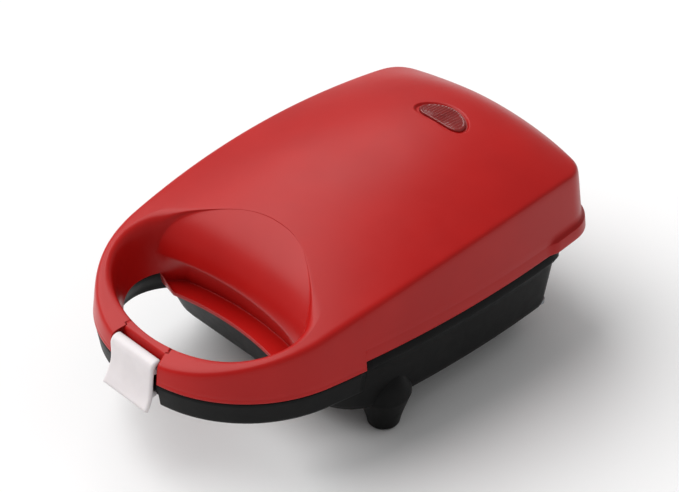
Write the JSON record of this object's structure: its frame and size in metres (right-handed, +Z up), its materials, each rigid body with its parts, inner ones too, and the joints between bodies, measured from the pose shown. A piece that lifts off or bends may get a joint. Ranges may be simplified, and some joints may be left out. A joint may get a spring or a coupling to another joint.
{
  "type": "panini press",
  "caption": "Compact hinged sandwich toaster with a crowned lid, an oval finger opening, a front snap latch and two facing grill plates.",
  "frame": {"origin": "on the surface the feet stand on, midway in width and in depth over the closed press", "axes": "+Z up, -Y towards the latch and the finger opening, +Y towards the hinge, X across"},
  "size_m": [0.1326, 0.2186, 0.0882],
  "materials": {
    "red_plastic": "high gloss",
    "black_plastic": "fine satin",
    "white_plastic": "semi gloss",
    "lens_plastic": "clear red, ribbed",
    "frame_plastic": "satin",
    "plate_coating": "non-stick coating",
    "tube_steel": "dull",
    "tab_steel": "plated",
    "strap_steel": "zinc plated",
    "screw_steel": "zinc plated",
    "shield_aluminium": "mill",
    "pad_rubber": "matt",
    "pin_steel": "drawn",
    "holder_plastic": "natural",
    "lamp_glass": "clear",
    "thermostat_body": "moulded resin",
    "fuse_metal": "drawn",
    "woven_sleeve": "glass braid",
    "brass_screws": "nickel brass",
    "gland_rubber": "matt",
    "clamp_plastic": "satin",
    "wire_cover": "silicone"
  },
  "bodies": {
    "base": {"lower_housing": "black_plastic", "lower_frame": "frame_plastic", "lower_plate": "plate_coating", "lower_element": "tube_steel", "lower_terminals": "tab_steel", "lower_straps": "strap_steel", "lower_strap_screws": "screw_steel", "lower_heat_shield": "shield_aluminium", "base_screws": "screw_steel", "foot_pads": "pad_rubber", "thermostat": "thermostat_body", "terminal_block": "holder_plastic", "terminal_screws": "brass_screws", "cord_gland": "gland_rubber", "cord_clamp": "clamp_plastic", "base_wires": "wire_cover"},
    "lid": {"upper_housing": "red_plastic", "indicator_lens": "lens_plastic", "upper_frame": "frame_plastic", "upper_plate": "plate_coating", "upper_element": "tube_steel", "upper_terminals": "tab_steel", "upper_straps": "strap_steel", "upper_strap_screws": "screw_steel", "lid_screws": "screw_steel", "upper_heat_shield": "shield_aluminium", "hinge_pins": "pin_steel", "latch_spindle": "pin_steel", "lamp_holder": "holder_plastic", "neon_lamp": "lamp_glass", "thermal_fuse": "fuse_metal", "fuse_sleeve": "woven_sleeve", "wire_sleeve": "woven_sleeve"},
    "latch": {"latch": "white_plastic"}
  },
  "joints": [
    {"name": "lid_hinge", "type": "hinge", "parent": "base", "child": "lid", "pos_m": [0, 0.095, 0.05], "axis": [-1, 0, 0], "range_deg": [0, 105]},
    {"name": "latch_hinge", "type": "hinge", "parent": "lid", "child": "latch", "pos_m": [0, -0.1013, 0.0496], "axis": [-1, 0, 0], "range_deg": [0, 60]}
  ]
}
